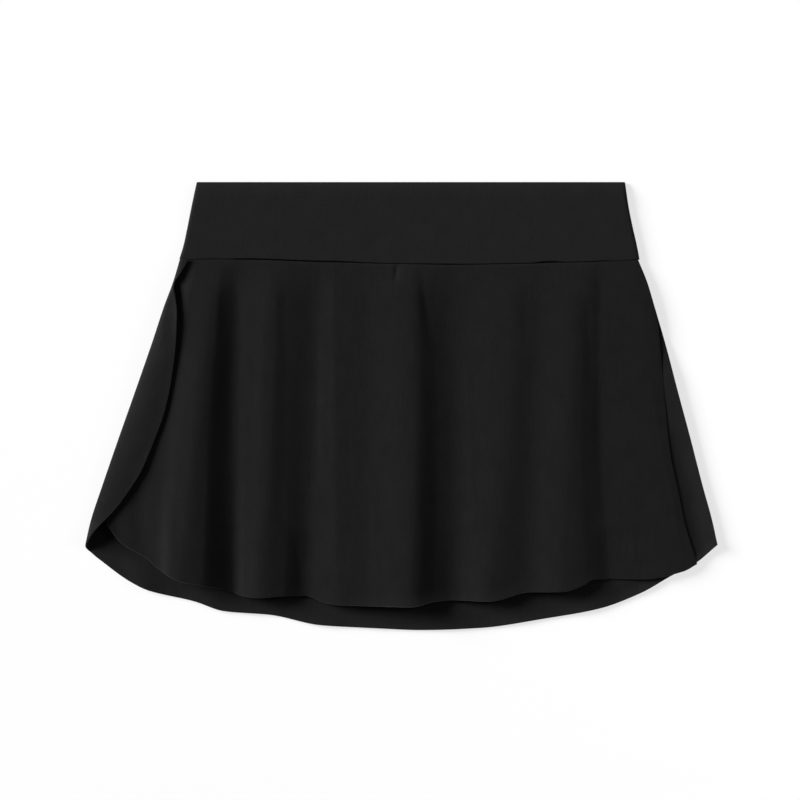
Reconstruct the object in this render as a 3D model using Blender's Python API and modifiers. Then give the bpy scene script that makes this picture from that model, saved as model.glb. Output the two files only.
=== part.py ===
"""Tennis skort lying flat with its front up, in metres, +Z up.

The waist points to +Y and the hem to -Y, and the surface it lies on is z = 0. Left and right in the
names are the wearer's, so the wearer's left is +X. The tables are in millimetres: "across" runs along
+X from the middle of the garment's box, and "down" runs from the waist's top edge towards the hem.
"""
import math
from bisect import bisect_right
from collections import namedtuple

import bmesh
import bpy

MM = 0.001

# Overall sizes, laid flat.
LENGTH = 358.0
BAND_DEPTH = 61.4
SEAM_GAP = 0.3

# Cloth thickness: the band is knit folded double, the panels are one layer.
BAND_WALL = 2.0
SKIRT_WALL = 1.2
SHORTS_WALL = 1.0

# Height of each layer's underside over the surface.
SHORTS_BACK_LEVEL = SKIRT_WALL + SEAM_GAP
SHORTS_FRONT_LEVEL = SHORTS_BACK_LEVEL + SHORTS_WALL + SEAM_GAP
SKIRT_FRONT_LEVEL = SHORTS_FRONT_LEVEL + SHORTS_WALL + SEAM_GAP
BAND_FRONT_TOP_LEVEL = BAND_WALL + SEAM_GAP
BAND_FRONT_SEAM_LEVEL = 3.7
BAND_RISE_FROM = 20.0

# Mesh density of each piece.
BAND_COLUMNS, BAND_ROWS = 28, 5
FOLD_STEPS, FRONT_ROWS = 3, 22
BACK_COLUMNS, WRAP_COLUMNS, BACK_ROWS = 32, 14, 18
SHORTS_COLUMNS, SHORTS_ROWS = 8, 8

# The seam between band and skirt dips in the middle of the front.
Seam = namedtuple("Seam", "across down")
SEAM = (
    Seam(-178, 61.2),
    Seam(-134, 61.9),
    Seam(-64, 64.0),
    Seam(39, 66.0),
    Seam(142, 64.2),
    Seam(190, 61.6),
)

# The band's two side folds.
BandSide = namedtuple("BandSide", "down right left")
BAND_SIDES = (
    BandSide(0, -163.6, 178.8),
    BandSide(18.5, -167.5, 181.4),
    BandSide(37, -171.2, 185.1),
    BandSide(50.5, -174.1, 188.2),
    BandSide(62, -177.6, 190.4),
)

# The skirt's side lines: the back panel's fold on the wearer's right and its cut edge on the left.
SkirtSide = namedtuple("SkirtSide", "down right left")
SKIRT_SIDES = (
    SkirtSide(61, -176.8, 189.0),
    SkirtSide(80, -182.4, 196.7),
    SkirtSide(98.5, -189.3, 202.2),
    SkirtSide(127, -198.7, 210.3),
    SkirtSide(166, -212.2, 220.5),
    SkirtSide(204, -225.6, 230.7),
    SkirtSide(242, -238.7, 240.5),
    SkirtSide(271, -248.2, 248.4),
    SkirtSide(289.5, -252.4, 252.4),
)

# The front panel's two side edges. The right one lies under the flap, the left one on the back panel.
FrontSide = namedtuple("FrontSide", "down right left")
FRONT_SIDES = (
    FrontSide(61, -173.0, 188.4),
    FrontSide(80, -179.8, 196.0),
    FrontSide(98.5, -183.4, 201.6),
    FrontSide(111, -185.6, 204.2),
    FrontSide(139, -193.6, 207.0),
    FrontSide(178, -205.5, 210.5),
    FrontSide(217, -219.0, 214.6),
    FrontSide(249, -230.0, 221.3),
    FrontSide(273, -235.4, 226.2),
    FrontSide(305, -236.2, 236.2),
)

# Lower edge of the back panel.
Hem = namedtuple("Hem", "across down")
BACK_HEM = (
    Hem(-252.4, 290.0),
    Hem(-249.0, 295.0),
    Hem(-238, 304.2),
    Hem(-217, 319.1),
    Hem(-201, 326.6),
    Hem(-165, 335.2),
    Hem(-141, 343.0),
    Hem(-105, 345.8),
    Hem(-65, 354.0),
    Hem(-17, 356.7),
    Hem(15, 358.0),
    Hem(63, 356.3),
    Hem(111, 349.4),
    Hem(159, 340.6),
    Hem(191, 328.6),
    Hem(215, 315.0),
    Hem(236, 303.7),
    Hem(252.4, 289.6),
)

# One row for each line that the front panel's flutes follow, crest or valley, from the wearer's right.
# seam, middle and hem: its place across. drop: how far down the hem is there.
# high, mid and low: height of the cloth's underside near the seam, half way down and at the hem.
Fold = namedtuple("Fold", "name seam middle hem drop high mid low")
FOLDS = (
    Fold("round corner", -170, -206, -224, 287.7, 5.6, 6.8, 6.0),
    Fold("slope under flap", -167, -196, -203, 300.5, 7.4, 8.4, 6.8),
    Fold("first rise", -162, -187, -195, 307.4, 9.6, 9.8, 8.2),
    Fold("first crest", -149, -163, -175, 318.7, 11.0, 15.8, 16.6),
    Fold("first shoulder", -144, -155, -160, 321.6, 10.6, 14.5, 14.8),
    Fold("first valley", -130, -135, -135, 327.2, 5.4, 5.8, 2.2),
    Fold("second rise", -119, -123, -125, 330.7, 7.2, 8.5, 8.0),
    Fold("second crest", -101, -105, -113, 331.7, 9.8, 11.6, 12.0),
    Fold("second shoulder", -88, -93, -95, 330.4, 7.6, 8.9, 9.0),
    Fold("second valley", -65, -69, -77, 330.3, 4.2, 4.2, 2.2),
    Fold("third rise", -59, -60, -61, 335.9, 5.4, 6.1, 5.4),
    Fold("third crest", -53, -52, -48, 337.8, 6.6, 7.8, 8.0),
    Fold("third valley", -32, -31, -31, 338.3, 6.4, 7.5, 8.3),
    Fold("fourth crest", 8, 10, 7, 338.8, 10.8, 13.0, 14.5),
    Fold("fourth shoulder", 27, 30, 28, 334.8, 6.2, 6.3, 5.2),
    Fold("fourth valley", 45, 43, 40, 334.1, 4.2, 4.2, 2.4),
    Fold("fifth crest", 90, 85, 70, 334.6, 7.8, 9.2, 9.2),
    Fold("fifth valley", 111, 106, 101, 327.7, 6.5, 6.9, 5.2),
    Fold("sixth crest", 140, 134, 129, 326.9, 8.6, 10.2, 10.2),
    Fold("sixth shoulder", 147, 142, 145, 321.7, 8.2, 9.1, 8.6),
    Fold("sixth slope", 152, 150, 153, 317.3, 7.0, 6.8, 6.5),
    Fold("sixth valley", 159, 160, 168, 317.0, 5.4, 4.2, 2.6),
    Fold("flat side", 172, 186, 195, 317.1, 5.7, 5.0, 3.9),
    Fold("side slope", 183, 204, 225, 311.0, 5.8, 5.1, 4.6),
)
HIGH_DOWN = 94.0
MID_DOWN = 195.0
FRONT_EDGE_HEIGHTS = {"right": (4.8, 5.7, 5.4), "left": (5.0, 4.4, 3.8)}

# The back panel's flap, wrapped round the wearer's right side over the front.
# edge: the flap's free edge across. lift: how far that edge stands off the front panel. rise: how much the
# flap rises for each millimetre towards that edge.
Flap = namedtuple("Flap", "down edge lift rise")
FLAP = (
    Flap(61, -169.6, 1.2, 0.0),
    Flap(74, -177.0, 2.8, 0.1),
    Flap(81, -181.4, 3.5, 0.2),
    Flap(85, -181.7, 3.7, 0.25),
    Flap(91, -180.6, 3.8, 0.28),
    Flap(105, -178.9, 3.4, 0.28),
    Flap(127, -179.6, 2.6, 0.14),
    Flap(148, -181.8, 1.8, 0.03),
    Flap(166, -184.7, 1.4, 0.02),
    Flap(185, -189.1, 1.4, 0.02),
    Flap(204, -196.1, 1.6, 0.02),
    Flap(230, -207.0, 2.3, 0.02),
    Flap(242, -214.3, 2.2, 0.02),
    Flap(261, -228.3, 2.4, 0.02),
    Flap(270, -237.0, 4.6, 0.0),
    Flap(279, -245.5, 8.0, 0.0),
    Flap(289.5, -252.2, 6.0, 0.0),
)
# The fold between back panel and flap. room: how far it clears the front panel. roll: the width over
# which the flap rises from it. A chord of that roll is this share of its width.
Turn = namedtuple("Turn", "down room roll")
FOLD_TURN = (
    Turn(61, 1.2, 4.0),
    Turn(88, 1.3, 3.0),
    Turn(114, 1.3, 5.0),
    Turn(145, 1.3, 18.0),
    Turn(240, 1.3, 21.0),
    Turn(289.5, 1.8, 12.0),
)
ROLL_SHARE = 0.8
NARROWEST_FLAP = 0.05

# The back panel's cut edge on the wearer's left curls up a little.
CURL_WIDTH = 46.0
EDGE_CURL = 4.8

# The inner shorts, one row for each level: distances of a half's two side lines from the middle.
Shorts = namedtuple("Shorts", "down inner outer")
SHORTS_CENTRE = 4.0
SHORTS = (
    Shorts(62, 0.15, 170),
    Shorts(120, 0.15, 172),
    Shorts(180, 0.15, 177),
    Shorts(226, 0.15, 180),
    Shorts(244, 5.0, 180),
    Shorts(272, 9.0, 178),
)
SHORTS_HEM = 272.0

# The lowest the front panel can sink: onto the shorts down to their hem, and onto the back panel below
# them and beside them.
Rest = namedtuple("Rest", "down level beside")
BACK_LEVEL = SKIRT_WALL + SEAM_GAP
FRONT_RESTS_ON = (
    Rest(SHORTS_HEM + 3, SKIRT_FRONT_LEVEL, BACK_LEVEL),
    Rest(SHORTS_HEM + 25, BACK_LEVEL, BACK_LEVEL),
)

# The front hem's place on a slanted fold line is closed in on by this many steps of this share.
HEM_STEPS = 12
HEM_SHARE = 0.7

BLACK_KNIT = (0.013, 0.013, 0.014, 1.0)
BLACK_LINING = (0.010, 0.010, 0.011, 1.0)
KNIT_ROUGHNESS = 0.85


def curve_at(knots, values, at):
    """Value at one place of the smooth curve through the rows, which never overshoots a row."""
    i = min(max(bisect_right(knots, at) - 1, 0), len(knots) - 2)
    slopes = [slope_between(knots, values, k) for k in range(max(i - 1, 0), min(i + 2, len(knots) - 1))]
    here = slope_between(knots, values, i)
    before = slopes[0] if i > 0 else here
    after = slopes[-1] if i < len(knots) - 2 else here
    step = knots[i + 1] - knots[i]
    t = min(max((at - knots[i]) / step, 0.0), 1.0)
    start = values[i] * (1 + 2 * t) * (1 - t) ** 2 + shared_slope(before, here) * step * t * (1 - t) ** 2
    end = values[i + 1] * t * t * (3 - 2 * t) - shared_slope(here, after) * step * t * t * (1 - t)
    return start + end


def slope_between(knots, values, i):
    """Slope of the straight line from one row to the next."""
    return (values[i + 1] - values[i]) / (knots[i + 1] - knots[i])


def shared_slope(before, after):
    """Slope at a row: level on a crest or in a valley, between its neighbours' slopes elsewhere."""
    if before * after <= 0:
        return 0.0
    return 2 * before * after / (before + after)


def table_at(rows, key, column, at):
    """Value of one column of a table at a place between its rows."""
    return curve_at([getattr(row, key) for row in rows], [getattr(row, column) for row in rows], at)


def mix(a, b, t):
    return a + (b - a) * t


def seam_down(across):
    return table_at(SEAM, "across", "down", across)


def front_side(side, down):
    return table_at(FRONT_SIDES, "down", side, down)


def fold_lines(down):
    """Places across of the front panel's edges and fold lines at one level."""
    lines = [front_side("right", down)]
    for fold in FOLDS:
        lines.append(curve_at((BAND_DEPTH, MID_DOWN, fold.drop), (fold.seam, fold.middle, fold.hem), down))
    lines.append(front_side("left", down))
    return lines


def fold_heights(down):
    """Heights of the front panel's underside on those lines at one level."""
    right = (*FRONT_EDGE_HEIGHTS["right"], FRONT_SIDES[-2].down)
    left = (*FRONT_EDGE_HEIGHTS["left"], FRONT_SIDES[-1].down)
    rows = [right] + [(fold.high, fold.mid, fold.low, fold.drop) for fold in FOLDS] + [left]
    heights = []
    for row in rows:
        high, mid, low, drop = row
        levels = (BAND_DEPTH, HIGH_DOWN, MID_DOWN, drop)
        height = curve_at(levels, (SKIRT_FRONT_LEVEL, high, mid, low), down)
        support = "beside" if row in (right, left) else "level"
        heights.append(max(height, table_at(FRONT_RESTS_ON, "down", support, down)))
    return heights


def front_underside(across, down):
    """Height of the front panel's underside, level beyond its side edges."""
    return curve_at(fold_lines(down), fold_heights(down), across)


def front_hem(across):
    """How far down the front panel's lower edge is."""
    places = [FRONT_SIDES[-2].right] + [fold.hem for fold in FOLDS] + [FRONT_SIDES[-1].left]
    drops = [FRONT_SIDES[-2].down] + [fold.drop for fold in FOLDS] + [FRONT_SIDES[-1].down]
    return curve_at(places, drops, across)


def skirt_front_point(u, v):
    """Point of the front panel's underside. u counts fold lines, v runs from the seam to the hem."""
    line = min(int(u), len(FOLDS))
    part = u - line

    def across_at(down):
        lines = fold_lines(down)
        return mix(lines[line], lines[line + 1], part)

    hem = LENGTH
    for _ in range(HEM_STEPS):
        hem = mix(hem, front_hem(across_at(hem)), HEM_SHARE)
    top = seam_down(across_at(BAND_DEPTH)) + SEAM_GAP
    down = mix(top, hem, v)
    across = across_at(down)
    return across, down, front_underside(across, down)


def wrap_radius(down):
    """Outer radius of the back panel's round fold."""
    inside = front_underside(front_side("right", down), down) + SKIRT_WALL
    room = table_at(FOLD_TURN, "down", "room", down)
    return (inside + room + SKIRT_WALL) / 2


def flap_top(across, down):
    """Height of the flap's upper face: nearly level from its free edge, and clear of the front panel."""
    edge, lift, rise = (table_at(FLAP, "down", column, down) for column in ("edge", "lift", "rise"))
    level = front_underside(edge, down) + lift - rise * (edge - across)
    inside = front_underside(max(across, front_side("right", down)), down)
    return max(level, inside + table_at(FOLD_TURN, "down", "room", down)) + 2 * SKIRT_WALL


def skirt_back_point(u, v):
    """Point of the back panel's outer face. u from 0 to 1 runs to the fold, and from 1 to 2 round it."""
    corner = SKIRT_SIDES[-1].down
    if u <= 1:
        inset = wrap_radius(corner)
        hem_across = mix(SKIRT_SIDES[-1].left, SKIRT_SIDES[-1].right + inset, u)
        hem = table_at(BACK_HEM, "across", "down", hem_across)
        top = seam_down(mix(SKIRT_SIDES[0].left, SKIRT_SIDES[0].right, u)) + SEAM_GAP
        down = mix(top, hem, v)
        side = table_at(SKIRT_SIDES, "down", "left", down)
        fold = table_at(SKIRT_SIDES, "down", "right", down) + wrap_radius(down)
        across = mix(side, fold, u)
        return across, down, edge_curl(side - across, down)
    part = u - 1
    tangent_down = skirt_back_point(1.0, v)[1]
    edge_down = mix(seam_down(SKIRT_SIDES[0].right) + SEAM_GAP, corner, v)
    return wrap_profile(part, mix(tangent_down, edge_down, part))


def edge_curl(inset, down):
    """Height of the back panel's underside near its cut edge, growing from the seam down."""
    close = min(max(1 - inset / CURL_WIDTH, 0.0), 1.0)
    grown = min(max((down - BAND_DEPTH) / HIGH_DOWN, 0.0), 1.0)
    return EDGE_CURL * (grown * close) ** 2


def wrap_profile(part, down):
    """Point of the cross-section: a quarter circle, a wide roll, and then over the front panel."""
    radius = wrap_radius(down)
    side = table_at(SKIRT_SIDES, "down", "right", down)
    width = max(table_at(FLAP, "down", "edge", down) - side, NARROWEST_FLAP)
    roll = table_at(FOLD_TURN, "down", "roll", down)
    turn = math.acos(1 - min(width / roll, 1.0))
    under = radius * math.pi / 2
    chord = roll * ROLL_SHARE
    way = part * (under + chord * turn + max(width - roll, 0.0))
    if way < under:
        angle = way / radius
        return side + radius - radius * math.sin(angle), down, radius - radius * math.cos(angle)
    bend = min((way - under) / chord, turn)
    beyond = roll * (1 - math.cos(bend)) + max(way - under - chord * turn, 0.0)
    top = flap_top(side + beyond, down)
    return side + beyond, down, radius + (top - radius) * math.sin(bend)


def band_point(u, v):
    """Point of the band's plane. u runs across from the wearer's right, v from the top to the seam."""
    low_across = mix(BAND_SIDES[-1].right, BAND_SIDES[-1].left, u)
    down = v * seam_down(low_across)
    right = table_at(BAND_SIDES, "down", "right", down)
    left = table_at(BAND_SIDES, "down", "left", down)
    return mix(right, left, u), down


def band_front_point(u, v):
    """The front band rises a little towards the seam, over the layers inside it."""
    across, down = band_point(u, v)
    rise = min(max((down - BAND_RISE_FROM) / (BAND_DEPTH - BAND_RISE_FROM), 0.0), 1.0)
    level = mix(BAND_FRONT_TOP_LEVEL, BAND_FRONT_SEAM_LEVEL, rise * rise * (3 - 2 * rise))
    return across, down, level


def band_back_point(u, v):
    return *band_point(1 - u, v), 0.0


def shorts_point(side, level, u, v):
    """Point of one half of the inner shorts, on the wearer's left (side 1) or right (side -1)."""
    outer_top = SHORTS_CENTRE + side * SHORTS[0].outer * u
    down = mix(seam_down(outer_top) + SEAM_GAP, SHORTS_HEM, v)
    inner = table_at(SHORTS, "down", "inner", down)
    outer = table_at(SHORTS, "down", "outer", down)
    return SHORTS_CENTRE + side * mix(inner, outer, u), down, level


def add_panel(name, columns, rows, point_at, wall, offset, material):
    """Cloth panel: a grid laid out by point_at(column, row share), with a wall of even thickness."""
    shape = bmesh.new()
    bmesh.ops.create_grid(shape, x_segments=columns, y_segments=rows, size=1.0)
    for vert in shape.verts:
        column = round((vert.co.x + 1) / 2 * columns)
        row = round((1 - vert.co.y) / 2 * rows)
        across, down, up = point_at(column, row / rows)
        vert.co = (across * MM, (LENGTH / 2 - down) * MM, up * MM)
    mesh = bpy.data.meshes.new(name)
    shape.to_mesh(mesh)
    shape.free()
    mesh.shade_smooth()
    mesh.materials.append(material)
    panel = bpy.data.objects.new(name, mesh)
    garment.objects.link(panel)
    thickness = panel.modifiers.new("cloth wall", "SOLIDIFY")
    thickness.thickness = wall * MM
    thickness.offset = offset
    thickness.use_even_offset = True
    return panel


def knit(name, colour):
    """Matt black knit."""
    material = bpy.data.materials.new(name)
    material.use_nodes = True
    shader = material.node_tree.nodes["Principled BSDF"]
    shader.inputs["Base Color"].default_value = colour
    shader.inputs["Roughness"].default_value = KNIT_ROUGHNESS
    shader.inputs["Metallic"].default_value = 0.0
    return material


def add_waistband():
    add_panel("waistband_front", BAND_COLUMNS, BAND_ROWS,
              lambda column, v: band_front_point(column / BAND_COLUMNS, v),
              BAND_WALL, 1, knit("front band knit", BLACK_KNIT))
    add_panel("waistband_back", BAND_COLUMNS, BAND_ROWS,
              lambda column, v: band_back_point(column / BAND_COLUMNS, v),
              BAND_WALL, -1, knit("back band knit", BLACK_KNIT))


def add_skirt():
    front_columns = (len(FOLDS) + 1) * FOLD_STEPS
    add_panel("skirt_front", front_columns, FRONT_ROWS,
              lambda column, v: skirt_front_point(column / FOLD_STEPS, v),
              SKIRT_WALL, 1, knit("front skirt knit", BLACK_KNIT))

    def back_place(column, v):
        if column <= BACK_COLUMNS:
            return skirt_back_point(column / BACK_COLUMNS, v)
        return skirt_back_point(1 + (column - BACK_COLUMNS) / WRAP_COLUMNS, v)

    add_panel("skirt_back", BACK_COLUMNS + WRAP_COLUMNS, BACK_ROWS, back_place,
              SKIRT_WALL, -1, knit("back skirt knit", BLACK_KNIT))


def add_shorts():
    for face, level in (("front", SHORTS_FRONT_LEVEL), ("back", SHORTS_BACK_LEVEL)):
        for hand, side in (("left", 1), ("right", -1)):
            add_panel(f"shorts_{face}_{hand}", SHORTS_COLUMNS, SHORTS_ROWS,
                      lambda column, v: shorts_point(side, level, column / SHORTS_COLUMNS, v),
                      SHORTS_WALL, side, knit(f"shorts {face} {hand} knit", BLACK_LINING))


for leftover in list(bpy.data.objects):
    bpy.data.objects.remove(leftover, do_unlink=True)
garment = bpy.data.collections.new("tennis skort")
bpy.context.scene.collection.children.link(garment)
add_waistband()
add_skirt()
add_shorts()
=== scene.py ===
"""Tennis skort in black knit, laid flat with its front up. Tables are in millimetres.

"across" runs along +X from the middle of the garment's box, "down" from the waist's top edge to the hem.
Left and right are the wearer's, so the wearer's left is +X.
"""
import math
from collections import namedtuple

import bpy
import numpy as np
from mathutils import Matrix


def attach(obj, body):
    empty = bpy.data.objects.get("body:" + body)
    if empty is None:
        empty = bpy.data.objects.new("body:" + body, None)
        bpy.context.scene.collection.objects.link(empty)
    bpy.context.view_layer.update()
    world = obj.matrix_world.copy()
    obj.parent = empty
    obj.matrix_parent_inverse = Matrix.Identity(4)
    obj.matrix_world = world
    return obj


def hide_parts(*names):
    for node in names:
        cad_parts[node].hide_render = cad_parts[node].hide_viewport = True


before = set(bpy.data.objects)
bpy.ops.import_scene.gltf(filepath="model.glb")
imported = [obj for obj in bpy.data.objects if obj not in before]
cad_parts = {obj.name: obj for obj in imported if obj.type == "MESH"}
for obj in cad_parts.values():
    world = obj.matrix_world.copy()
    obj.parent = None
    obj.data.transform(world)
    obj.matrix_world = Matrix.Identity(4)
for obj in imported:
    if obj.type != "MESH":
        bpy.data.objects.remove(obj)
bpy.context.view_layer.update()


# Front skirt panel: one layer of matt black stretch knit, cut flared with a round corner on the wearer's
# right. Its top edge is sewn into the band's seam, and below it the spare width stands up in soft flutes.
# The side edges and the hem are clean cut.

# LENGTH: waist to hem at the centre back. BAND_DEPTH: waist to seam at the sides. The solids' cloth is
# CAD_WALL thick and this one CLOTH_WALL. FRONT_LEVEL: height of this panel's underside at the seam. The
# flutes' heights are given at HIGH_DOWN, at MID_DOWN and at the hem.
MM = 0.001
LENGTH = 358.0
SEAM_GAP = 0.3
BAND_DEPTH = 61.4
CAD_WALL = 1.2
CLOTH_WALL = 0.9
FRONT_LEVEL = 4.1
HIGH_DOWN = 94.0
MID_DOWN = 195.0

# The seam between band and skirt dips in the middle.
Seam = namedtuple("Seam", "across down")
SEAM = (
    Seam(-178, 61.2),
    Seam(-134, 61.9),
    Seam(-64, 64.0),
    Seam(39, 66.0),
    Seam(142, 64.2),
    Seam(190, 61.6),
)

# The panel's side edges: the right one lies under the flap, the left one on the back panel.
FrontSide = namedtuple("FrontSide", "down right left")
FRONT_SIDES = (
    FrontSide(61, -173.0, 188.4),
    FrontSide(80, -179.8, 196.0),
    FrontSide(98.5, -183.4, 201.6),
    FrontSide(111, -185.6, 204.2),
    FrontSide(139, -193.6, 207.0),
    FrontSide(178, -205.5, 210.5),
    FrontSide(217, -219.0, 214.6),
    FrontSide(249, -230.0, 221.3),
    FrontSide(273, -235.4, 226.2),
    FrontSide(305, -236.2, 236.2),
)

# One row for each line that the flutes follow, from the wearer's right. seam, middle and hem: its place
# across. drop: how far down the hem is there. high, mid and low: height of the cloth's underside near
# the seam, half way down and at the hem.
Fold = namedtuple("Fold", "name seam middle hem drop high mid low")
FOLDS = (
    Fold("round corner", -170, -206, -224, 287.7, 5.6, 6.8, 6.0),
    Fold("slope under flap", -167, -196, -203, 300.5, 7.4, 8.4, 6.8),
    Fold("first rise", -162, -187, -195, 307.4, 9.6, 9.8, 8.2),
    Fold("first crest", -149, -163, -175, 318.7, 11.0, 15.8, 16.6),
    Fold("first shoulder", -144, -155, -160, 321.6, 10.6, 14.5, 14.8),
    Fold("first valley", -130, -135, -135, 327.2, 5.4, 5.8, 2.2),
    Fold("second rise", -119, -123, -125, 330.7, 7.2, 8.5, 8.0),
    Fold("second crest", -101, -105, -113, 331.7, 9.8, 11.6, 12.0),
    Fold("second shoulder", -88, -93, -95, 330.4, 7.6, 8.9, 9.0),
    Fold("second valley", -65, -69, -77, 330.3, 4.2, 4.2, 2.2),
    Fold("third rise", -59, -60, -61, 335.9, 5.4, 6.1, 5.4),
    Fold("third crest", -53, -52, -48, 337.8, 6.6, 7.8, 8.0),
    Fold("third valley", -32, -31, -31, 338.3, 6.4, 7.5, 8.3),
    Fold("fourth crest", 8, 10, 7, 338.8, 10.8, 13.0, 14.5),
    Fold("fourth shoulder", 27, 30, 28, 334.8, 6.2, 6.3, 5.2),
    Fold("fourth valley", 45, 43, 40, 334.1, 4.2, 4.2, 2.4),
    Fold("fifth crest", 90, 85, 70, 334.6, 7.8, 9.2, 9.2),
    Fold("fifth valley", 111, 106, 101, 327.7, 6.5, 6.9, 5.2),
    Fold("sixth crest", 140, 134, 129, 326.9, 8.6, 10.2, 10.2),
    Fold("sixth shoulder", 147, 142, 145, 321.7, 8.2, 9.1, 8.6),
    Fold("sixth slope", 152, 150, 153, 317.3, 7.0, 6.8, 6.5),
    Fold("sixth valley", 159, 160, 168, 317.0, 5.4, 4.2, 2.6),
    Fold("flat side", 172, 186, 195, 317.1, 5.7, 5.0, 3.9),
    Fold("side slope", 183, 204, 225, 311.0, 5.8, 5.1, 4.6),
)
# The same three heights at the panel's side edges.
FRONT_EDGE_HEIGHTS = {"right": (4.8, 5.7, 5.4), "left": (5.0, 4.4, 3.8)}

# The lowest the panel can sink: onto the shorts down to their hem, and onto the back panel below them
# and beside them.
Rest = namedtuple("Rest", "down level beside")
FRONT_RESTS_ON = (Rest(275, FRONT_LEVEL, 1.5), Rest(297, 1.5, 1.5))

# Small soft creases in the panel, trough or ridge. Each runs between two places and fades at its ends.
Crease = namedtuple("Crease", "across down end_across end_down width height")
FRONT_CREASES = (
    Crease(-3.4, 65, -5.2, 81, 2.0, -1.25),
    Crease(-141, 70, -143, 128, 4.0, -0.6),
    Crease(-94, 74, -96, 132, 3.6, -0.3),
    Crease(15, 67, 22, 128, 3.4, -0.9),
    Crease(98, 76, 99, 140, 3.0, -0.25),
    Crease(146, 78, 150, 160, 3.4, -0.3),
    Crease(-108, 82, -114, 240, 3.6, 0.35),
    Crease(-66, 72, -61, 250, 3.4, 0.3),
    Crease(52, 120, 59, 300, 3.0, 0.3),
    Crease(80, 74, 92, 120, 4.0, 0.25),
    Crease(190, 76, 206, 136, 4.5, 0.3),
    Crease(206, 100, 228, 320, 9.0, -0.55),
    Crease(-157.5, 206, -161.5, 316, 2.6, -0.15),
    Crease(-174, 165, -188, 324, 5.0, 0.55),
    Crease(-185, 240, -184, 400, 6.0, 1.8),
    Crease(-211, 242, -205, 304, 7.0, -1.2),
    Crease(135, 254, 132, 322, 2.6, -0.35),
    Crease(184, 262, 186, 318, 2.4, 0.25),
    Crease(212, 196, 222, 300, 3.0, 0.25),
    Crease(-44, 150, -41, 250, 3.0, -0.2),
    Crease(-22, 232, -19, 336, 3.2, 0.2),
    Crease(13, 262, 10, 338, 2.6, -0.25),
    Crease(36, 88, 33, 160, 3.4, -0.2),
    Crease(118, 196, 114, 300, 3.2, 0.2),
    Crease(-84, 284, -80, 330, 3.0, -0.4),
)
# A crease rises and falls along its run as a sine to this power.
CREASE_FADE = 0.7

# The cut hem curls up over FRONT_CURL_WIDTH, most on the fourth and fifth crests.
HemCurl = namedtuple("HemCurl", "across height")
FRONT_HEM_CURLS = (
    HemCurl(-236, 0.3),
    HemCurl(-110, 0.5),
    HemCurl(-48, 0.6),
    HemCurl(-20, 1.6),
    HemCurl(8, 3.4),
    HemCurl(28, 2.9),
    HemCurl(45, 1.3),
    HemCurl(70, 2.2),
    HemCurl(95, 1.4),
    HemCurl(130, 0.4),
    HemCurl(236, 0.3),
)
FRONT_CURL_WIDTH = 11.0

# The top edge turns down into the seam. In that roll the sheet's rows stand close together, at these
# shares of the way from seam to hem, and the even rows start below it.
SEAM_ROLL = 0.5
SEAM_ROLL_WIDTH = 0.9
ROLL_ROWS = (0, 0.0015, 0.0032, 0.0055, 0.0085)
EVEN_ROWS_START = 0.013
FRONT_COLUMNS, FRONT_ROWS = 300, 140
# Where each column of the sheet meets the hem is found in steps, each this share of the way left.
HEM_STEPS, HEM_STEP = 16, 0.7


def through(knots, values, at):
    """The smooth curve through a table's rows, read at many places. It never overshoots a row."""
    at = np.atleast_1d(np.asarray(at, float))
    rows = len(knots)
    knots = np.broadcast_to(np.asarray(knots, float).reshape(rows, -1), (rows, at.size))
    values = np.broadcast_to(np.asarray(values, float).reshape(rows, -1), (rows, at.size))
    step = np.diff(knots, axis=0)
    slope = np.diff(values, axis=0) / step
    before, after = slope[:-1], slope[1:]
    same_way = before * after > 0
    total = np.where(same_way, before + after, 1.0)
    shared = np.where(same_way, 2 * before * after / total, 0.0)
    tangent = np.vstack([slope[:1], shared, slope[-1:]])
    row = np.clip((at >= knots).sum(axis=0) - 1, 0, rows - 2)[None]
    here, there = (np.take_along_axis(values, row + k, axis=0)[0] for k in (0, 1))
    leave, arrive = (np.take_along_axis(tangent, row + k, axis=0)[0] for k in (0, 1))
    width = np.take_along_axis(step, row, axis=0)[0]
    t = np.clip((at - np.take_along_axis(knots, row, axis=0)[0]) / width, 0.0, 1.0)
    start = here * (1 + 2 * t) * (1 - t) ** 2 + leave * width * t * (1 - t) ** 2
    return start + there * t * t * (3 - 2 * t) - arrive * width * t * t * (1 - t)


def table_at(rows, key, column, at):
    """One column of a table, read between its rows."""
    return through([getattr(row, key) for row in rows], [getattr(row, column) for row in rows], at)


def mix(a, b, t):
    return a + (b - a) * t


def seam_down(across):
    return table_at(SEAM, "across", "down", across)


def front_side(side, down):
    return table_at(FRONT_SIDES, "down", side, down)


def fold_lines(down):
    """Places across of the panel's edges and fold lines, one row for each line."""
    lines = [front_side("right", down)]
    for fold in FOLDS:
        lines.append(through((BAND_DEPTH, MID_DOWN, fold.drop), (fold.seam, fold.middle, fold.hem), down))
    lines.append(front_side("left", down))
    return np.array(lines)


def fold_heights(down):
    """Heights of the cloth's underside on those lines."""
    right = (*FRONT_EDGE_HEIGHTS["right"], FRONT_SIDES[-2].down)
    left = (*FRONT_EDGE_HEIGHTS["left"], FRONT_SIDES[-1].down)
    heights = []
    for high, mid, low, drop in [right] + [(f.high, f.mid, f.low, f.drop) for f in FOLDS] + [left]:
        height = through((BAND_DEPTH, HIGH_DOWN, MID_DOWN, drop), (FRONT_LEVEL, high, mid, low), down)
        support = "beside" if drop in (right[-1], left[-1]) else "level"
        heights.append(np.maximum(height, table_at(FRONT_RESTS_ON, "down", support, down)))
    return np.array(heights)


def front_underside(across, down):
    """Height of the front panel's underside, level beyond its side edges."""
    return through(fold_lines(down), fold_heights(down), across)


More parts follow.
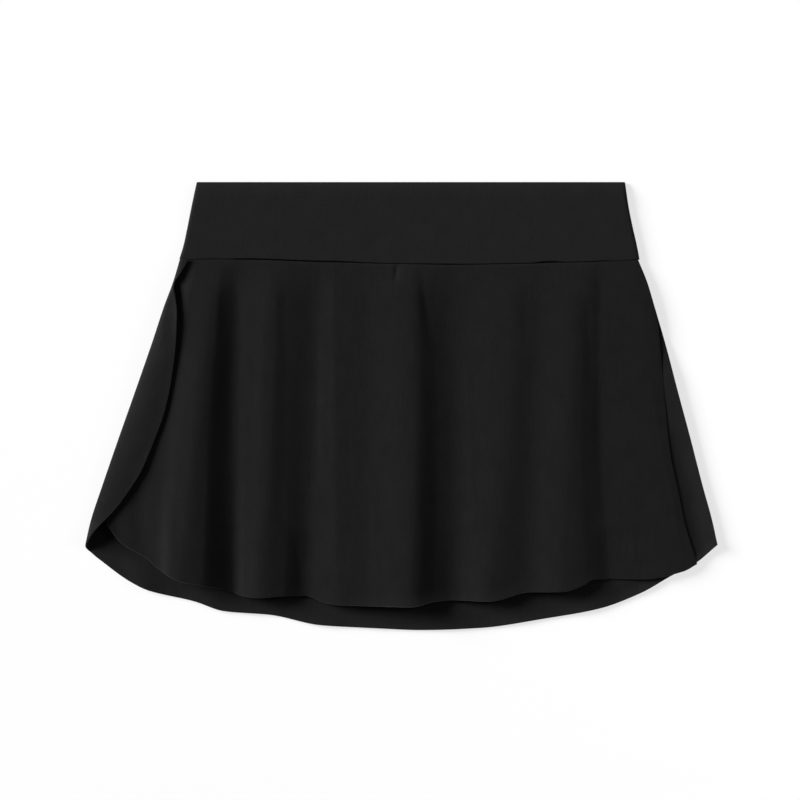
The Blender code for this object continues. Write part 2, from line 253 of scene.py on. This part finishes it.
def front_hem(across):
    """How far down the front panel's lower edge is."""
    places = [FRONT_SIDES[-2].right] + [fold.hem for fold in FOLDS] + [FRONT_SIDES[-1].left]
    drops = [FRONT_SIDES[-2].down] + [fold.drop for fold in FOLDS] + [FRONT_SIDES[-1].down]
    return through(places, drops, across)


def crease_height(creases, across, down):
    """Sum of the creases' heights at many places."""
    total = np.zeros(np.shape(across))
    for crease in creases:
        run = (crease.end_across - crease.across, crease.end_down - crease.down)
        length = math.hypot(*run)
        along = ((across - crease.across) * run[0] + (down - crease.down) * run[1]) / length ** 2
        beside = ((across - crease.across) * run[1] - (down - crease.down) * run[0]) / length
        fade = np.sin(np.clip(along, 0, 1) * math.pi) ** CREASE_FADE
        total += crease.height * fade * np.exp(-(beside / crease.width) ** 2)
    return total


def shares_from_seam(rows):
    """Shares of the way from seam to hem, closer together in the seam's roll."""
    even_rows = np.linspace(EVEN_ROWS_START, 1, rows + 1 - len(ROLL_ROWS))
    return np.concatenate([ROLL_ROWS, even_rows])


def front_points(columns, rows):
    """Grid of points (rows by columns) of the front panel's underside."""
    places = fold_lines(np.array([MID_DOWN]))[:, 0]
    u = np.interp(np.linspace(places[0], places[-1], columns + 1), places, np.arange(places.size))
    line = np.minimum(u.astype(int), len(FOLDS))
    part = u - line

    def across_at(down, line, part):
        lines = fold_lines(down)
        pick = np.arange(down.size)
        return mix(lines[line, pick], lines[line + 1, pick], part)

    hem = np.full(u.size, LENGTH)
    for _ in range(HEM_STEPS):
        hem = mix(hem, front_hem(across_at(hem, line, part)), HEM_STEP)
    top = seam_down(across_at(np.full(u.size, BAND_DEPTH), line, part)) + SEAM_GAP
    down = mix(top, hem, shares_from_seam(rows)[:, None])
    across = across_at(down.ravel(), np.tile(line, rows + 1), np.tile(part, rows + 1))
    up = front_underside(across, down.ravel()) + crease_height(FRONT_CREASES, across, down.ravel())
    up -= SEAM_ROLL * np.exp(-(((down - top) / SEAM_ROLL_WIDTH) ** 2)).ravel()
    curl = table_at(FRONT_HEM_CURLS, "across", "height", across_at(hem, line, part))
    up += (curl * np.clip(1 - (hem - down) / FRONT_CURL_WIDTH, 0, 1) ** 2).ravel()
    return np.stack([across.reshape(down.shape), down, up.reshape(down.shape)], axis=2)


def cloth_grid(name, points):
    """Sheet of cloth from a grid of points (across, down, up), with UVs in metres along the cloth."""
    rows, columns = points.shape[0] - 1, points.shape[1] - 1
    bpy.ops.object.select_all(action="DESELECT")
    bpy.ops.mesh.primitive_grid_add(x_subdivisions=columns, y_subdivisions=rows, size=2)
    piece = bpy.context.object
    piece.name = piece.data.name = name
    flat = np.empty(len(piece.data.vertices) * 3)
    piece.data.vertices.foreach_get("co", flat)
    flat = flat.reshape(-1, 3)
    column = np.rint((flat[:, 0] + 1) / 2 * columns).astype(int)
    row = np.rint((1 - flat[:, 1]) / 2 * rows).astype(int)
    placed = points[row, column] * (MM, -MM, MM)
    placed[:, 1] += LENGTH / 2 * MM
    piece.data.vertices.foreach_set("co", placed.ravel())
    lay_uvs(piece, points, row, column)
    piece.data.update()
    return piece


def lay_uvs(piece, points, row, column):
    """UV map in metres: U along the cloth from its middle column, V down the cloth from its top edge."""
    along = np.linalg.norm(np.diff(points, axis=1), axis=2).cumsum(axis=1) * MM
    along = np.pad(along, ((0, 0), (1, 0)))
    along -= along[:, points.shape[1] // 2][:, None]
    down = np.linalg.norm(np.diff(points, axis=0), axis=2).cumsum(axis=0) * MM
    down = np.pad(down, ((1, 0), (0, 0)))
    corner = np.empty(len(piece.data.loops), int)
    piece.data.loops.foreach_get("vertex_index", corner)
    uv = np.stack([along[row, column], -down[row, column]], axis=1)[corner]
    layer = piece.data.uv_layers.active or piece.data.uv_layers.new(name="UVMap")
    layer.data.foreach_set("uv", uv.ravel())


# Rounding of a cut edge, the angle from which an edge is rounded, and the one up to which cloth is smooth.
CUT_ROUND, CUT_SEGMENTS = 0.3, 3
CUT_ANGLE, SMOOTH_ANGLE = 60.0, 50.0
# An edge this far below the seam, or less, is sewn in.
SEWN_DEPTH = 1.5


def finish_cloth(piece, wall, offset, edge, materials):
    """Give the sheet its thickness and softly rounded edges.

    offset: the side of the sheet that the wall lies on, 1 with its normals, -1 against them, 0 for both.
    The materials are those of the face that the sheet's normals point to, the other face and the cut edge,
    which is lighter: partly the fuzz of its cut yarns, partly a painted highlight.
    """
    for material in materials:
        piece.data.materials.append(material)
    cut = len(materials) - 1
    thickness = piece.modifiers.new("cloth wall", "SOLIDIFY")
    thickness.thickness = wall * MM
    thickness.offset = offset
    thickness.use_even_offset = True
    thickness.material_offset = min(cut, 1)
    thickness.material_offset_rim = cut
    rounding = piece.modifiers.new("soft edge", "BEVEL")
    rounding.width = edge * MM
    rounding.segments = CUT_SEGMENTS
    rounding.limit_method = "ANGLE"
    rounding.angle_limit = math.radians(CUT_ANGLE)
    rounding.material = cut
    bpy.ops.object.select_all(action="DESELECT")
    piece.select_set(True)
    bpy.context.view_layer.objects.active = piece
    bpy.ops.object.modifier_apply(modifier=thickness.name)
    bpy.ops.object.modifier_apply(modifier=rounding.name)
    bpy.ops.object.shade_smooth_by_angle(angle=math.radians(SMOOTH_ANGLE))
    sewn_edge_plain(piece, cut)


def sewn_edge_plain(piece, cut):
    """The edge that is sewn into the seam doesn't show its cut, so it gets the other face's material, not
    the lighter cut-edge one with its painted highlight.
    """
    centre = np.empty(len(piece.data.polygons) * 3)
    piece.data.polygons.foreach_get("center", centre)
    across, down = centre[0::3] / MM, LENGTH / 2 - centre[1::3] / MM
    slot = np.empty(len(piece.data.polygons), int)
    piece.data.polygons.foreach_get("material_index", slot)
    slot[(slot == cut) & (down < seam_down(across) + SEWN_DEPTH)] = min(cut, 1)
    piece.data.polygons.foreach_set("material_index", slot)


# The knit's uneven tone: wide clouds, streaks drawn out along the wales, and fine specks. scale: how many
# of them to a metre. share: how much each one adds.
Mottle = namedtuple("Mottle", "scale detail share")
CLOUDS = Mottle(60, 3, 0.2)
STREAKS = Mottle(420, 2, 0.25)
SPECKS = Mottle(800, 2, 0.55)
STREAK_DRAW = (1.0, 0.12, 1.0)


def fine_knit_group():
    """Fine jersey knit: rows of small V-shaped stitches, and the slow and quick changes of its tone."""
    group = bpy.data.node_groups.new("fine knit", "ShaderNodeTree")
    for name, kind, where in (
        ("Cloth", "NodeSocketVector", "INPUT"),
        ("Wales per metre", "NodeSocketFloat", "INPUT"),
        ("Courses per metre", "NodeSocketFloat", "INPUT"),
        ("Stitch height", "NodeSocketFloat", "OUTPUT"),
        ("Tone", "NodeSocketFloat", "OUTPUT"),
    ):
        group.interface.new_socket(name=name, in_out=where, socket_type=kind)
    nodes = group.nodes
    enter = nodes.new("NodeGroupInput")
    leave = nodes.new("NodeGroupOutput")

    def math_node(operation, first, second=None):
        node = nodes.new("ShaderNodeMath")
        node.operation = operation
        for socket, value in zip(node.inputs, (first, second)):
            if isinstance(value, (int, float)):
                socket.default_value = value
            elif value is not None:
                group.links.new(value, socket)
        return node.outputs[0]

    def mottle(kind, cloth):
        node = nodes.new("ShaderNodeTexNoise")
        node.inputs["Scale"].default_value = kind.scale
        node.inputs["Detail"].default_value = kind.detail
        group.links.new(cloth, node.inputs["Vector"])
        return math_node("MULTIPLY", node.outputs["Fac"], kind.share)

    split = nodes.new("ShaderNodeSeparateXYZ")
    group.links.new(enter.outputs["Cloth"], split.inputs[0])
    wale = math_node("FRACT", math_node("MULTIPLY", split.outputs["X"], enter.outputs["Wales per metre"]))
    leg = math_node("ABSOLUTE", math_node("SUBTRACT", wale, 0.5))
    course = math_node("MULTIPLY", split.outputs["Y"], enter.outputs["Courses per metre"])
    slanted = math_node("FRACT", math_node("ADD", course, leg))
    loop = math_node("SINE", math_node("MULTIPLY", slanted, math.pi))
    half_wale = math_node("FRACT", math_node("MULTIPLY", wale, 2))
    strand = math_node("SINE", math_node("MULTIPLY", half_wale, math.pi))
    stitch = math_node("MULTIPLY", loop, strand)
    group.links.new(stitch, leave.inputs["Stitch height"])
    along_wales = nodes.new("ShaderNodeVectorMath")
    along_wales.operation = "MULTIPLY"
    along_wales.inputs[1].default_value = STREAK_DRAW
    group.links.new(enter.outputs["Cloth"], along_wales.inputs[0])
    clouds = mottle(CLOUDS, enter.outputs["Cloth"])
    streaks = mottle(STREAKS, along_wales.outputs[0])
    specks = mottle(SPECKS, enter.outputs["Cloth"])
    tone = math_node("ADD", math_node("ADD", clouds, streaks), specks)
    group.links.new(tone, leave.inputs["Tone"])
    return group


fine_knit = fine_knit_group()

# What all the knits share: a slightly cool black, matt where it is dark and less so where it is light,
# with a faint grey sheen of loose fibres.
COOL = 1.02
DARK_ROUGHNESS, LIGHT_ROUGHNESS = 0.92, 0.78
STITCH_STRENGTH = 0.6
KNIT_SPECULAR = 0.09
SHEEN_ROUGHNESS = 0.45
SHEEN_TINT = (0.5, 0.5, 0.52, 1)


def knit_material(name, dark, light, wales, courses, stitch_depth, sheen):
    """Matt black knit. dark and light are the ends of its tone, as linear grey.

    wales and courses: stitches to a metre across and down the cloth. stitch_depth is in metres.
    """
    material = bpy.data.materials.new(name)
    material.use_nodes = True
    tree = material.node_tree
    shader = tree.nodes["Principled BSDF"]
    cloth = tree.nodes.new("ShaderNodeUVMap")
    cloth.uv_map = "UVMap"
    knit = tree.nodes.new("ShaderNodeGroup")
    knit.node_tree = fine_knit
    knit.inputs["Wales per metre"].default_value = wales
    knit.inputs["Courses per metre"].default_value = courses
    tree.links.new(cloth.outputs["UV"], knit.inputs["Cloth"])
    tone = tree.nodes.new("ShaderNodeMix")
    tone.data_type = "RGBA"
    tone.inputs["A"].default_value = (dark, dark, dark * COOL, 1)
    tone.inputs["B"].default_value = (light, light, light * COOL, 1)
    tree.links.new(knit.outputs["Tone"], tone.inputs["Factor"])
    tree.links.new(tone.outputs["Result"], shader.inputs["Base Color"])
    rough = tree.nodes.new("ShaderNodeMapRange")
    rough.inputs["To Min"].default_value = DARK_ROUGHNESS
    rough.inputs["To Max"].default_value = LIGHT_ROUGHNESS
    tree.links.new(knit.outputs["Tone"], rough.inputs["Value"])
    tree.links.new(rough.outputs["Result"], shader.inputs["Roughness"])
    bump = tree.nodes.new("ShaderNodeBump")
    bump.inputs["Strength"].default_value = STITCH_STRENGTH
    bump.inputs["Distance"].default_value = stitch_depth
    tree.links.new(knit.outputs["Stitch height"], bump.inputs["Height"])
    tree.links.new(bump.outputs["Normal"], shader.inputs["Normal"])
    shader.inputs["Specular IOR Level"].default_value = KNIT_SPECULAR
    shader.inputs["Sheen Weight"].default_value = sheen
    shader.inputs["Sheen Roughness"].default_value = SHEEN_ROUGHNESS
    shader.inputs["Sheen Tint"].default_value = SHEEN_TINT
    return material


skirt_knit = knit_material(
    "skirt knit", dark=0.0010, light=0.0142, wales=2100, courses=2600, stitch_depth=0.00018, sheen=0.13)
skirt_inside = knit_material(
    "skirt knit inside", dark=0.0018, light=0.0172,
    wales=1900, courses=2600, stitch_depth=0.00018, sheen=0.15)
# The cut edge is lighter than the faces: partly the fuzz of its cut yarns, partly a painted highlight where
# the edges catch the light.
cut_edge_fuzz_and_highlight = knit_material(
    "cut edge", dark=0.012, light=0.038, wales=2100, courses=2600, stitch_depth=0.00018, sheen=0.4)

front_grid = front_points(FRONT_COLUMNS, FRONT_ROWS)
front_grid[..., 2] += CAD_WALL - CLOTH_WALL
skirt_front = cloth_grid("front_skirt_panel", front_grid)
finish_cloth(skirt_front, CLOTH_WALL, 1, CUT_ROUND, (skirt_knit, skirt_inside, cut_edge_fuzz_and_highlight))
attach(skirt_front, "root")
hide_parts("skirt_front")


# Back skirt panel: the same knit, cut longer than the front. It lies flat under everything, turns round
# the wearer's right side and comes forward over the front panel as a flap with a rounded free edge, which
# is sewn into the band only at its very top.

SkirtSide = namedtuple("SkirtSide", "down right left")
SKIRT_SIDES = (
    SkirtSide(61, -176.8, 189.0),
    SkirtSide(80, -182.4, 196.7),
    SkirtSide(98.5, -189.3, 202.2),
    SkirtSide(127, -198.7, 210.3),
    SkirtSide(166, -212.2, 220.5),
    SkirtSide(204, -225.6, 230.7),
    SkirtSide(242, -238.7, 240.5),
    SkirtSide(271, -248.2, 248.4),
    SkirtSide(289.5, -252.4, 252.4),
)

# Lower edge of the back panel.
Hem = namedtuple("Hem", "across down")
BACK_HEM = (
    Hem(-252.4, 290.0),
    Hem(-249.0, 295.0),
    Hem(-238, 304.2),
    Hem(-217, 319.1),
    Hem(-201, 326.6),
    Hem(-165, 335.2),
    Hem(-141, 343.0),
    Hem(-105, 345.8),
    Hem(-65, 354.0),
    Hem(-17, 356.7),
    Hem(15, 358.0),
    Hem(63, 356.3),
    Hem(111, 349.4),
    Hem(159, 340.6),
    Hem(191, 328.6),
    Hem(215, 315.0),
    Hem(236, 303.7),
    Hem(252.4, 289.6),
)

# The flap. edge: its free edge across. lift: how far that edge stands off the front panel. rise: how much
# it rises for each millimetre towards that edge.
Flap = namedtuple("Flap", "down edge lift rise")
FLAP = (
    Flap(61, -169.6, 1.2, 0.0),
    Flap(74, -177.0, 2.8, 0.1),
    Flap(81, -181.4, 3.5, 0.2),
    Flap(85, -181.7, 3.7, 0.25),
    Flap(91, -180.6, 3.8, 0.28),
    Flap(105, -178.9, 3.4, 0.28),
    Flap(127, -179.6, 2.6, 0.14),
    Flap(148, -181.8, 1.8, 0.03),
    Flap(166, -184.7, 1.4, 0.02),
    Flap(185, -189.1, 1.4, 0.02),
    Flap(204, -196.1, 1.6, 0.02),
    Flap(230, -207.0, 2.3, 0.02),
    Flap(242, -214.3, 2.2, 0.02),
    Flap(261, -228.3, 1.9, 0.02),
    Flap(270, -237.0, 2.9, 0.0),
    Flap(279, -245.5, 6.8, 0.0),
    Flap(289.5, -252.2, 6.0, 0.0),
)
# The fold between back panel and flap. room: how far it clears the front panel. roll: the width over
# which the flap rises from it.
Turn = namedtuple("Turn", "down room roll")
FOLD_TURN = (
    Turn(61, 1.2, 4.0),
    Turn(88, 1.3, 3.0),
    Turn(114, 1.3, 5.0),
    Turn(145, 1.3, 18.0),
    Turn(240, 1.3, 21.0),
    Turn(289.5, 1.8, 12.0),
)

# The flap's free edge curls up over FLAP_CURL_WIDTH, most near its top.
FlapCurl = namedtuple("FlapCurl", "down height")
FLAP_CURLS = (
    FlapCurl(61, 0.0),
    FlapCurl(82, 0.3),
    FlapCurl(92, 1.0),
    FlapCurl(110, 1.0),
    FlapCurl(128, 0.45),
    FlapCurl(150, 0.25),
    FlapCurl(250, 0.25),
    FlapCurl(289.5, 0.0),
)
FLAP_CURL_WIDTH = 5.0

# The left side's cut edge curls up a little.
CURL_WIDTH = 46.0
EDGE_CURL = 4.8
# A soft ridge runs down the back panel under the front panel's left edge.
RIDGE_HEIGHT, RIDGE_WIDTH = 1.3, 6.0
# A soft dip beside that ridge, and a rise under the front panel's hem near its left corner.
BACK_CREASES = (
    Crease(222, 195, 250, 330, 7.0, -1.5),
    Crease(148, 318.5, 200, 316.5, 6.0, 1.6),
)

# The back panel's hem lifts in low waves where it shows below the front panel. They reach up WAVE_REACH.
Wave = namedtuple("Wave", "across width height")
BACK_WAVES = (
    Wave(-206, 13, 3.6),
    Wave(-152, 11, 1.8),
    Wave(-120, 10, 0.8),
    Wave(-62, 14, 1.6),
    Wave(-18, 12, 0.7),
    Wave(40, 16, 1.2),
    Wave(98, 14, 0.9),
    Wave(150, 15, 1.5),
    Wave(204, 14, 1.2),
)
WAVE_REACH = 34.0
# The cut hem itself curls up a little, but not in the fold at the side.
HEM_CURL, HEM_CURL_WIDTH, HEM_CURL_START = 1.3, 9.0, 14.0
# The flap's narrowest place, where it leaves the fold, and how far along the roll one radian of it runs,
# as a share of the roll's width.
NARROWEST_FLAP = 0.05
ROLL_SHARE = 0.8

BACK_COLUMNS, WRAP_COLUMNS, BACK_ROWS = 120, 60, 120


def wrap_radius(down):
    """Outer radius of the back panel's round fold."""
    inside = front_underside(front_side("right", down), down) + CAD_WALL
    return (inside + table_at(FOLD_TURN, "down", "room", down) + CAD_WALL) / 2


def flap_top(across, down):
    """Height of the flap's upper face: nearly level from its free edge, and clear of the front panel."""
    edge, lift, rise = (table_at(FLAP, "down", column, down) for column in ("edge", "lift", "rise"))
    level = front_underside(edge, down) + lift - rise * (edge - across)
    inside = front_underside(np.maximum(across, front_side("right", down)), down)
    near_edge = np.clip(1 - (edge - across) / FLAP_CURL_WIDTH, 0, 1)
    curl = table_at(FLAP_CURLS, "down", "height", down) * near_edge ** 2
    return np.maximum(level, inside + table_at(FOLD_TURN, "down", "room", down)) + 2 * CAD_WALL + curl


def back_flat_points(u, rows):
    """The part that lies flat, from the left edge (u 0) to where the fold begins (u 1)."""
    corner = SKIRT_SIDES[-1].down
    hem_across = mix(SKIRT_SIDES[-1].left, SKIRT_SIDES[-1].right + wrap_radius(corner), u)
    hem = table_at(BACK_HEM, "across", "down", hem_across)
    top = seam_down(mix(SKIRT_SIDES[0].left, SKIRT_SIDES[0].right, u)) + SEAM_GAP
    down = mix(top, hem, np.linspace(0, 1, rows + 1)[:, None])
    level = down.ravel()
    fold = table_at(SKIRT_SIDES, "down", "right", level) + wrap_radius(level)
    side = table_at(SKIRT_SIDES, "down", "left", level)
    across = mix(side, fold, np.tile(u, rows + 1))
    freed = np.clip((level - BAND_DEPTH) / HIGH_DOWN, 0, 1)
    close = np.clip(1 - (side - across) / CURL_WIDTH, 0, 1) * freed
    up = EDGE_CURL * close ** 2
    beside = (across - front_side("left", level)) / RIDGE_WIDTH
    up += RIDGE_HEIGHT * np.exp(-beside ** 2) * freed
    up += crease_height(BACK_CREASES, across, level)
    above_hem = np.broadcast_to(hem, down.shape).ravel() - level
    curl = np.clip(1 - above_hem / HEM_CURL_WIDTH, 0, 1) ** 2
    up += HEM_CURL * curl * np.clip((across - fold) / HEM_CURL_START, 0, 1) ** 2
    near_hem = np.clip(1 - above_hem / WAVE_REACH, 0, 1)
    for wave in BACK_WAVES:
        up += wave.height * near_hem ** 2 * np.exp(-((across - wave.across) / wave.width) ** 2)
    return np.stack([across.reshape(down.shape), down, up.reshape(down.shape)], axis=2)


def wrap_points(part, rows, tangent_down):
    """The part that rounds the fold and lies over the front, in shares of its way to the free edge."""
    v = np.linspace(0, 1, rows + 1)
    edge_down = mix(seam_down(SKIRT_SIDES[0].right) + SEAM_GAP, SKIRT_SIDES[-1].down, v)
    down = mix(tangent_down[:, None], edge_down[:, None], part)
    level = down.ravel()
    radius = wrap_radius(level)
    side = table_at(SKIRT_SIDES, "down", "right", level)
    width = np.maximum(table_at(FLAP, "down", "edge", level) - side, NARROWEST_FLAP)
    roll = table_at(FOLD_TURN, "down", "roll", level)
    turn = np.arccos(1 - np.minimum(width / roll, 1.0))
    under = radius * math.pi / 2
    chord = roll * ROLL_SHARE
    way = np.tile(part, rows + 1) * (under + chord * turn + np.maximum(width - roll, 0))
    angle = np.minimum(way / radius, math.pi / 2)
    bend = np.clip((way - under) / chord, 0, turn)
    beyond = roll * (1 - np.cos(bend)) + np.maximum(way - under - chord * turn, 0)
    across = np.where(way < under, side + radius - radius * np.sin(angle), side + beyond)
    top = flap_top(across, level)
    up = np.where(way < under, radius - radius * np.cos(angle), radius + (top - radius) * np.sin(bend))
    return np.stack([across.reshape(down.shape), down, up.reshape(down.shape)], axis=2)


back_flat = back_flat_points(np.linspace(0, 1, BACK_COLUMNS + 1), BACK_ROWS)
share = np.linspace(0, 1, WRAP_COLUMNS + 1)[1:]
back_wrap = wrap_points(share, BACK_ROWS, back_flat[:, -1, 1])
skirt_back = cloth_grid("back_skirt_panel", np.concatenate([back_flat, back_wrap], axis=1))
finish_cloth(skirt_back, CLOTH_WALL, -1, CUT_ROUND, (skirt_knit, skirt_inside, cut_edge_fuzz_and_highlight))
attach(skirt_back, "root")
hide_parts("skirt_back")


# Inner shorts: four panels of the same knit between the two skirt panels, sewn together at the sides and
# the middle and into the band's seam. They lie flat, and their leg hems end well above the skirt's.

Shorts = namedtuple("Shorts", "down inner outer")
SHORTS_CENTRE = 4.0
SHORTS_HEM = 272.0
SHORTS = (
    Shorts(62, 0.15, 170),
    Shorts(120, 0.15, 172),
    Shorts(180, 0.15, 177),
    Shorts(226, 0.15, 180),
    Shorts(244, 5.0, 180),
    Shorts(272, 9.0, 178),
)
SHORTS_WALL = 1.0
SHORTS_LEVELS = {"front": 2.75, "back": 1.5}
# The front ones' seam allowance reaches up inside the band, so nothing shows through the seam.
SHORTS_ALLOWANCE = {"front": 2.0, "back": -SEAM_GAP}
SHORTS_COLUMNS, SHORTS_ROWS = 40, 48
shorts_knit = knit_material(
    "shorts knit", dark=0.004, light=0.008, wales=2300, courses=2900, stitch_depth=0.00016, sheen=0.04)


def shorts_points(side, level, allowance):
    """One half, on the wearer's left (side 1) or right (side -1), at its height in the pile of layers."""
    u = np.linspace(0, 1, SHORTS_COLUMNS + 1)
    top = seam_down(SHORTS_CENTRE + side * SHORTS[0].outer * u) - allowance
    down = mix(top, SHORTS_HEM, np.linspace(0, 1, SHORTS_ROWS + 1)[:, None])
    inner = table_at(SHORTS, "down", "inner", down.ravel()).reshape(down.shape) - SEAM_GAP / 2
    outer = table_at(SHORTS, "down", "outer", down.ravel()).reshape(down.shape)
    return np.stack([SHORTS_CENTRE + side * mix(inner, outer, u), down, np.full(down.shape, level)], axis=2)


for face, level in SHORTS_LEVELS.items():
    for hand, side in (("left", 1), ("right", -1)):
        points = shorts_points(side, level, SHORTS_ALLOWANCE[face])
        panel = cloth_grid(f"inner_shorts_{face}_{hand}", points)
        finish_cloth(panel, SHORTS_WALL, side, CUT_ROUND, (shorts_knit, shorts_knit, cut_edge_fuzz_and_highlight))
        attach(panel, "root")
        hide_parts(f"shorts_{face}_{hand}")


# Waistband: one wide ring of heavier, smoother knit, folded double at the top edge and sewn to the skirt
# along its lower edge. It lies flat, with a soft round fold at each side.

BandSide = namedtuple("BandSide", "down right left")
BAND_SIDES = (
    BandSide(0, -163.6, 178.8),
    BandSide(18.5, -167.5, 181.4),
    BandSide(37, -171.2, 185.1),
    BandSide(50.5, -174.1, 188.2),
    BandSide(62, -177.6, 190.4),
)
BAND_WALL = 1.5
BAND_HEIGHT = 5.7
BAND_EDGE_ROUND = 0.85
# How far the lower edge draws back from the seam: closed at the sides, and slightly open between them.
Tuck = namedtuple("Tuck", "across back")
BAND_TUCKS = (
    Tuck(-177.6, -0.3),
    Tuck(-165, -0.3),
    Tuck(-158, 0.3),
    Tuck(-140, 0.5),
    Tuck(-132, 0.9),
    Tuck(-116, 1.3),
    Tuck(-72, 1.1),
    Tuck(-44, 1.2),
    Tuck(-28, 0.7),
    Tuck(-4, 0.5),
    Tuck(20, 0.8),
    Tuck(64, 0.5),
    Tuck(106, 0.6),
    Tuck(116, 1.7),
    Tuck(125, 1.5),
    Tuck(133, 0.6),
    Tuck(166, 0.4),
    Tuck(173, -0.3),
    Tuck(190.4, -0.3),
)
# The turned top edge is pressed down by TOP_PRESS and rises over TOP_SOFT, and a faint ridge shows where
# the turned-in edge ends inside it.
TOP_PRESS, TOP_SOFT = 2.5, 12.0
TURN_LINE, TURN_RIDGE, TURN_WIDTH = 4.4, 0.10, 0.9
BAND_RUN_COLUMNS, BAND_FOLD_COLUMNS, BAND_ROWS = 120, 10, 64
# The ring's first and last columns are one, merged within this distance in metres.
RING_MERGE = 0.00001
band_knit = knit_material(
    "band knit", dark=0.0038, light=0.0170, wales=2400, courses=2400, stitch_depth=0.00012, sheen=0.115)


def band_points():
    """Middle surface of the ring, from the back's left fold round over the right one and the front.

    Its last column lies on its first and closes it.
    """
    run = np.linspace(0, 1, BAND_RUN_COLUMNS + 1)
    turn = np.linspace(0, 1, BAND_FOLD_COLUMNS + 1)[1:-1]
    place = np.concatenate([1 - run, 0 * turn, run, 1 + 0 * turn, [1.0]])
    angle = np.concatenate([0 * run, turn, 1 + 0 * run, 1 + turn, [2.0]]) * math.pi
    low = mix(BAND_SIDES[-1].right, BAND_SIDES[-1].left, place)
    lower_edge = seam_down(low) - table_at(BAND_TUCKS, "across", "back", low)
    down = np.linspace(0, 1, BAND_ROWS + 1)[:, None] * lower_edge
    level = down.ravel()
    height = BAND_HEIGHT - TOP_PRESS * np.clip(1 - down / TOP_SOFT, 0, 1) ** 2
    height = height + TURN_RIDGE * np.exp(-((down - TURN_LINE) / TURN_WIDTH) ** 2)
    radius = (height - BAND_WALL) / 2
    right = table_at(BAND_SIDES, "down", "right", level).reshape(down.shape) + height / 2
    left = table_at(BAND_SIDES, "down", "left", level).reshape(down.shape) - height / 2
    across = mix(right, left, place) - radius * np.sin(angle)
    up = height / 2 - radius * np.cos(angle)
    return np.stack([across, down, up], axis=2)


band = cloth_grid("waistband", band_points())
bpy.ops.object.mode_set(mode="EDIT")
bpy.ops.mesh.select_all(action="SELECT")
bpy.ops.mesh.remove_doubles(threshold=RING_MERGE)
bpy.ops.object.mode_set(mode="OBJECT")
finish_cloth(band, BAND_WALL, 0, BAND_EDGE_ROUND, (band_knit,))
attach(band, "root")
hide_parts("waistband_front", "waistband_back")


# The pale surface it lies on, soft light from the wearer's upper right with a weak fill from the left, and
# the camera straight above. Places and sizes are in metres.

FLOOR_SIZE = 6.0
FLOOR_DROP = 0.0002
PAPER_GREY, PAPER_GLOW, PAPER_ROUGHNESS = 0.3, 0.68, 0.9
SoftBox = namedtuple("SoftBox", "name place size power")
SOFT_BOXES = (
    SoftBox("key light", (-15.6, 6.0, 7.4), 7.6, 6650),
    SoftBox("fill light", (1.0, 0.1, 0.8), 0.5, 3.0),
)
ROOM_LIGHT = 0.13
FRAME_WIDTH = 0.640
LENS = 135.0
SENSOR = 36.0
CAMERA_OVER = (-0.0011, 0.0050)

bpy.ops.object.select_all(action="DESELECT")
bpy.ops.mesh.primitive_plane_add(size=FLOOR_SIZE, location=(0, 0, -FLOOR_DROP))
floor = bpy.context.object
floor.name = "pale_surface"
paper = bpy.data.materials.new("pale paper")
paper.use_nodes = True
paper_shader = paper.node_tree.nodes["Principled BSDF"]
paper_shader.inputs["Base Color"].default_value = (PAPER_GREY, PAPER_GREY, PAPER_GREY, 1)
paper_shader.inputs["Roughness"].default_value = PAPER_ROUGHNESS
paper_shader.inputs["Emission Color"].default_value = (1, 1, 1, 1)
paper_shader.inputs["Emission Strength"].default_value = PAPER_GLOW
floor.data.materials.append(paper)

for box in SOFT_BOXES:
    light = bpy.data.lights.new(box.name, "AREA")
    light.shape = "SQUARE"
    light.size = box.size
    light.energy = box.power
    holder = bpy.data.objects.new(box.name, light)
    bpy.context.collection.objects.link(holder)
    holder.location = box.place
    holder.rotation_euler = holder.location.to_track_quat("Z", "Y").to_euler()

world = bpy.data.worlds.new("studio")
world.use_nodes = True
world.node_tree.nodes["Background"].inputs["Color"].default_value = (1, 1, 1, 1)
world.node_tree.nodes["Background"].inputs["Strength"].default_value = ROOM_LIGHT
bpy.context.scene.world = world
bpy.context.scene.view_settings.view_transform = "Standard"

camera_data = bpy.data.cameras.new("camera")
camera_data.lens = LENS
camera_data.sensor_width = SENSOR
camera = bpy.data.objects.new("camera", camera_data)
bpy.context.collection.objects.link(camera)
camera.location = (*CAMERA_OVER, FRAME_WIDTH * LENS / SENSOR)
bpy.context.scene.camera = camera
